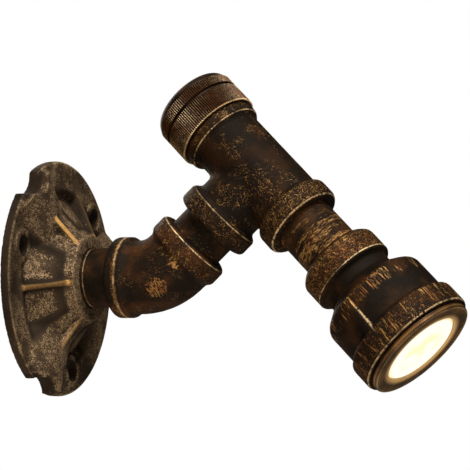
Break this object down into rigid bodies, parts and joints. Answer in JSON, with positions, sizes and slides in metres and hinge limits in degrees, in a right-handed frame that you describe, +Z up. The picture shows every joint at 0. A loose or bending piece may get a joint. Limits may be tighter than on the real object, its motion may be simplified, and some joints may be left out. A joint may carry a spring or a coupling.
{
  "type": "industrial pipe wall light",
  "caption": "Wall light of cast pipe fittings: floor flange, elbow and tee on short nipples, reeded end cap and a bell-shaped spot head with bezel and lens.",
  "frame": {"origin": "centre of the flange on the wall plane, which is also the centre of its three screw holes", "axes": "+Y into the wall, so the light stands out towards -Y; +Z up the wall; +X to the right as seen from the room"},
  "size_m": [0.0848, 0.1544, 0.1159],
  "materials": {
    "flange_iron": "antique bronze casting, dry-brushed with gold",
    "nipple_steel": "antique bronze paint brushed round the pipe with gold",
    "connector_nylon": "moulded nylon",
    "lead_sheath": "black flexible sheath",
    "earth_brass": "plain",
    "screw_steel": "zinc plated",
    "earth_insulation": "green",
    "fitting_iron": "antique bronze casting, dry-brushed with gold",
    "rubber_black": "matt",
    "cap_iron": "antique bronze with copper on the reeds",
    "driver_plastic": "moulded",
    "driver_circuit": "green circuit board",
    "reducer_iron": "antique bronze casting, dry-brushed along its length",
    "spreader_aluminium": "turned",
    "pad_grey": "soft thermal pad",
    "board_white": "white solder mask",
    "phosphor": "yellow phosphor",
    "reflector_metal": "bright metallised",
    "lens_glass": "frosted, lit warm white",
    "bezel_brass": "brushed bronze, turned"
  },
  "bodies": {
    "wall": {"wall_flange": "flange_iron", "wall_nipple": "nipple_steel", "supply_connector": "connector_nylon", "wall_lead": "lead_sheath", "earth_terminal": "earth_brass", "earth_screw": "screw_steel", "earth_wire": "earth_insulation"},
    "arm": {"elbow": "fitting_iron", "arm_nipple": "nipple_steel", "arm_lead": "lead_sheath"},
    "head": {"tee": "fitting_iron", "driver_case": "driver_plastic", "driver_board": "driver_circuit", "tee_lead": "lead_sheath", "led_lead": "lead_sheath", "head_nipple": "nipple_steel", "reducer_bell": "reducer_iron", "heat_spreader": "spreader_aluminium", "thermal_pad": "pad_grey", "led_board": "board_white", "led_emitter": "phosphor", "board_screws": "screw_steel", "reflector": "reflector_metal"},
    "cap_washer": {"cap_gasket": "rubber_black"},
    "cap": {"end_cap": "cap_iron"},
    "lens_carrier": {"lens": "lens_glass", "lens_gasket": "rubber_black"},
    "bezel": {"bezel_ring": "bezel_brass"}
  },
  "joints": [
    {"name": "arm_swivel", "type": "hinge", "parent": "wall", "child": "arm", "pos_m": [0, -0.0426, 0], "axis": [0, -1, 0], "range_deg": [-170, 170]},
    {"name": "head_swivel", "type": "hinge", "parent": "arm", "child": "head", "pos_m": [0, -0.07806, 0.03546], "axis": [0, -0.7071, 0.7071], "range_deg": [-150, 150]},
    {"name": "cap_travel", "type": "slide", "parent": "head", "child": "cap_washer", "axis": [0, 0.7071, 0.7071], "range_m": [0, 0.0073]},
    {"name": "cap_turn", "type": "hinge", "parent": "cap_washer", "child": "cap", "pos_m": [0, -0.05685, 0.05667], "axis": [0, 0.7071, 0.7071], "range_deg": [0, 1440]},
    {"name": "bezel_travel", "type": "slide", "parent": "head", "child": "lens_carrier", "axis": [0, -0.7071, -0.7071], "range_m": [0, 0.0031]},
    {"name": "bezel_turn", "type": "hinge", "parent": "lens_carrier", "child": "bezel", "pos_m": [0, -0.13852, -0.025], "axis": [0, -0.7071, -0.7071], "range_deg": [0, 1080]}
  ],
  "couplings": [
    {"joint": "cap_travel", "follows": "cap_turn", "m_per_rad": 0.00028871},
    {"joint": "bezel_travel", "follows": "bezel_turn", "m_per_rad": 0.00015915}
  ]
}
